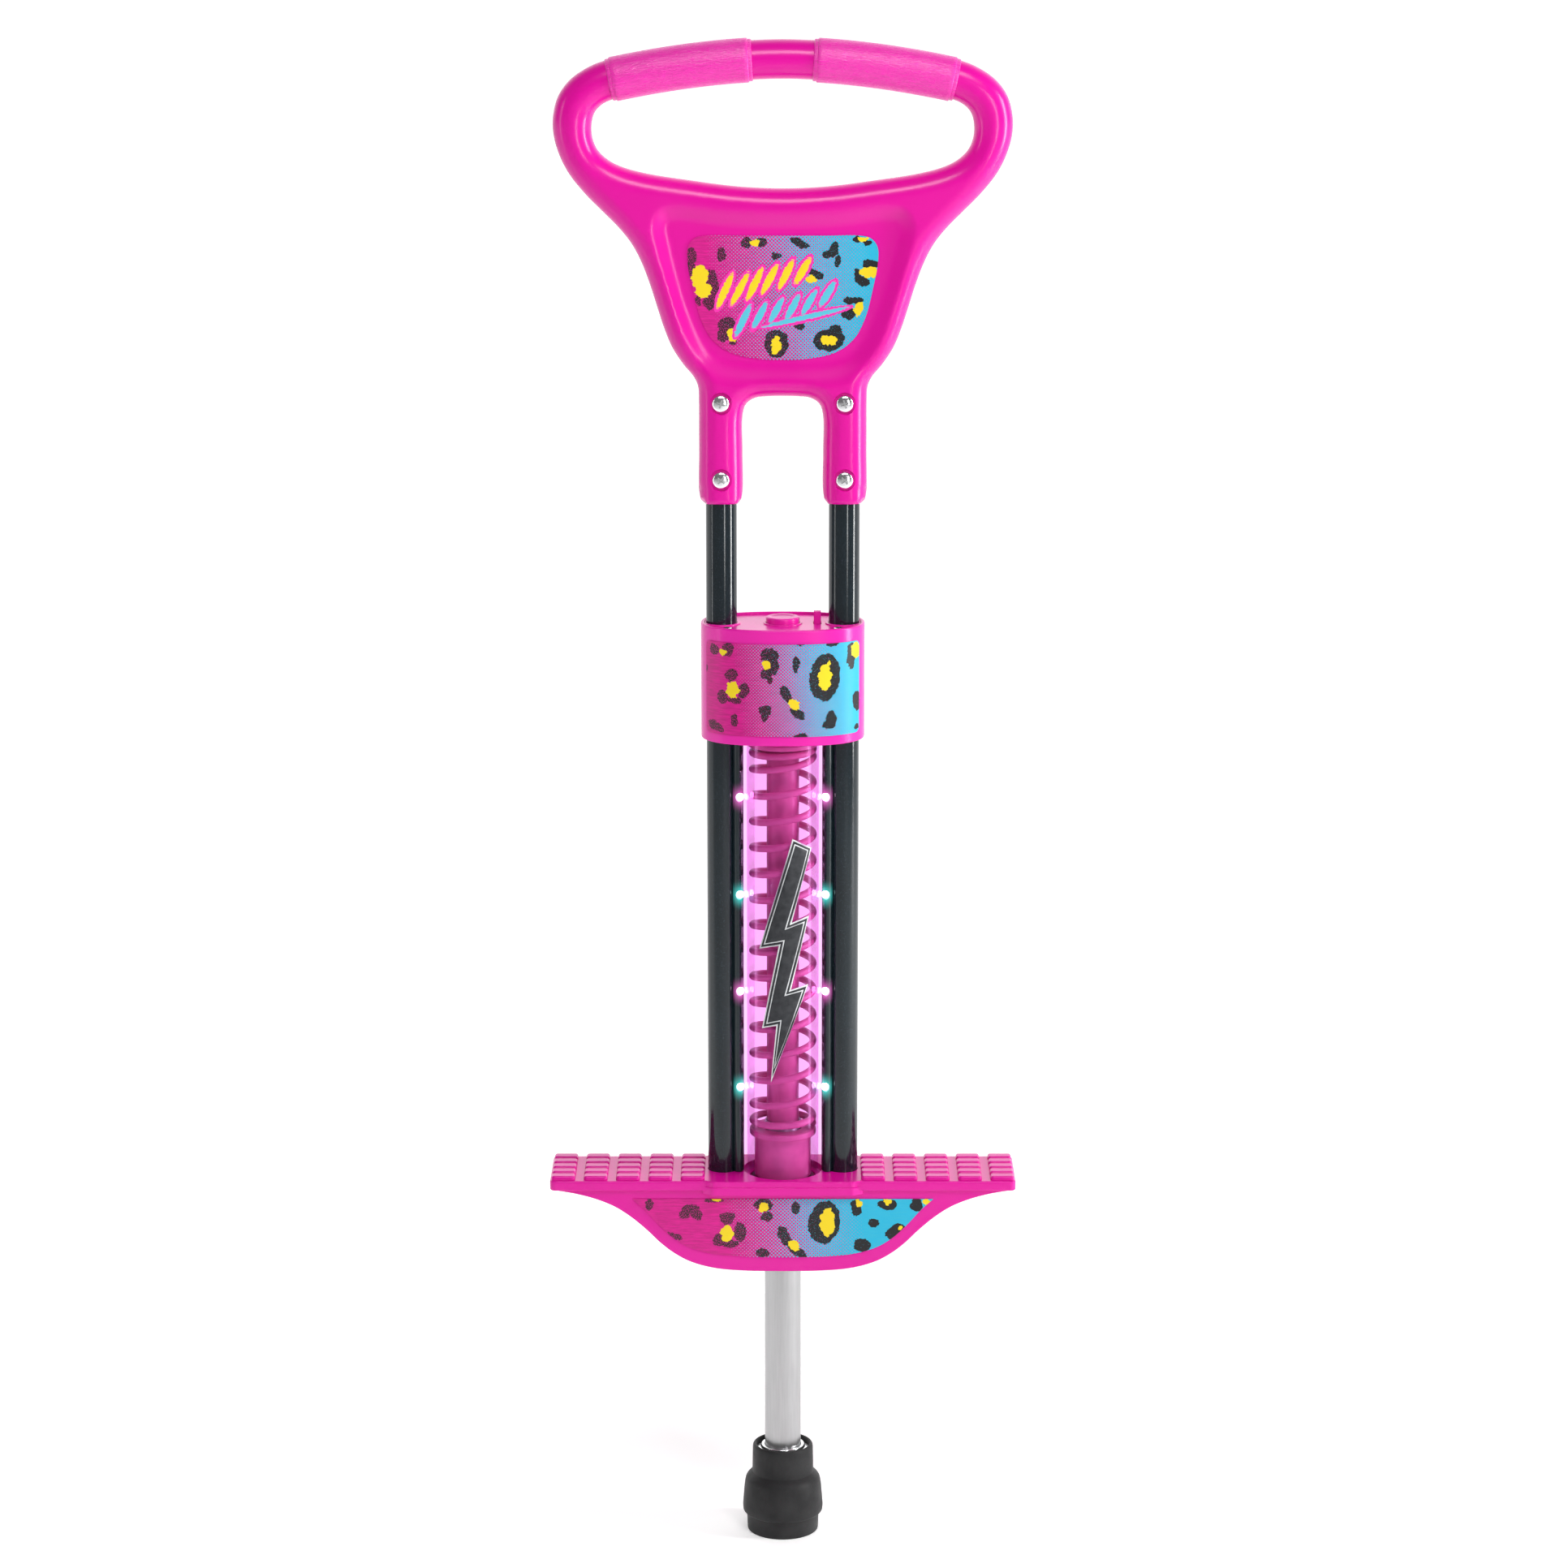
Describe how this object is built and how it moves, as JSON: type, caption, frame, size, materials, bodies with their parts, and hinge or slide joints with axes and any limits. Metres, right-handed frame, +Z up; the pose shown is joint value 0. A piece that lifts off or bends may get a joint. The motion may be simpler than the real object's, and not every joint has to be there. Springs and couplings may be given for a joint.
{
  "type": "pogo stick",
  "caption": "Child-size pogo stick with loop handle, twin frame tubes, a sprung leg in a clear tube with lights, a ribbed footplate and a rubber foot.",
  "frame": {"origin": "on the floor under the centre of the rubber foot, with the stick upright", "axes": "+Z up along the leg, -Y towards the labelled front, +X to the right seen from the front"},
  "size_m": [0.2928, 0.0683, 0.9494],
  "materials": {
    "pink_plastic": "glossy blow-moulded and injection-moulded magenta plastic",
    "housing_plastic": "glossy bright pink moulded plastic",
    "pink_grip": "soft grained pink grip",
    "black_paint": "glossy black powder-coated steel tube",
    "black_plastic": "glossy black extruded plastic",
    "chrome": "bright plated",
    "satin_steel": "satin zinc-plated steel",
    "rubber": "matte black moulded rubber",
    "clear_plastic": "clear tube tinted pink",
    "spring_paint": "painted spring steel",
    "board_green": "circuit board",
    "wire_red": "wire insulation",
    "battery_metal": "battery jacket",
    "printed_label": "printed vinyl sticker, magenta to cyan with dots and animal spots",
    "decal_print": "dark printed sticker",
    "led_magenta": "lit lens",
    "led_cyan": "lit lens"
  },
  "bodies": {
    "leg": {"rubber_foot": "rubber", "foot_washer": "chrome", "shaft": "satin_steel", "spring_cup": "satin_steel", "shaft_circlip": "satin_steel", "spring": "spring_paint"},
    "button": {"push_button": "housing_plastic"},
    "lever": {"switch_lever": "housing_plastic"},
    "frame": {"handle_body": "pink_plastic", "footplate": "pink_plastic", "housing_body": "housing_plastic", "housing_lid": "housing_plastic", "battery_door": "housing_plastic", "grip_left": "pink_grip", "grip_right": "pink_grip", "frame_tube_left": "black_paint", "frame_tube_right": "black_paint", "led_rail_left": "black_plastic", "led_rail_right": "black_plastic", "lower_bushing": "black_plastic", "battery_tray": "black_plastic", "plate_bolt_left": "chrome", "plate_bolt_right": "chrome", "handle_bolt_upper_left": "chrome", "handle_bolt_upper_right": "chrome", "handle_bolt_lower_left": "chrome", "handle_bolt_lower_right": "chrome", "handle_nut_upper_left": "chrome", "handle_nut_upper_right": "chrome", "handle_nut_lower_left": "chrome", "handle_nut_lower_right": "chrome", "top_spring_seat": "satin_steel", "guide_rod": "satin_steel", "guide_rod_nut": "satin_steel", "lid_screw_left": "satin_steel", "lid_screw_right": "satin_steel", "door_screw": "satin_steel", "rebound_bumper": "rubber", "clear_tube": "clear_plastic", "circuit_board": "board_green", "led_strip_left": "board_green", "led_strip_right": "board_green", "led_wire_left": "wire_red", "led_wire_right": "wire_red", "battery_1": "battery_metal", "battery_2": "battery_metal", "battery_3": "battery_metal", "handle_label": "printed_label", "housing_label": "printed_label", "skirt_label": "printed_label", "tube_decal": "decal_print", "led_left_1": "led_magenta", "led_left_2": "led_cyan", "led_left_3": "led_magenta", "led_left_4": "led_cyan", "led_right_1": "led_magenta", "led_right_2": "led_cyan", "led_right_3": "led_magenta", "led_right_4": "led_cyan"}
  },
  "joints": [
    {"name": "leg_spring_slide", "type": "slide", "parent": "leg", "child": "frame", "axis": [0, 0, -1], "range_m": [0, 0.11], "stiffness_N_per_m": 4000, "springref_m": -0.012, "deforming": ["spring"]},
    {"name": "button_press", "type": "slide", "parent": "frame", "child": "button", "axis": [0, 0, -1], "range_m": [0, 0.0015], "stiffness_N_per_m": 300, "springref_m": -0.001},
    {"name": "power_lever_slide", "type": "slide", "parent": "frame", "child": "lever", "axis": [0, 1, 0], "range_m": [0, 0.004]}
  ]
}
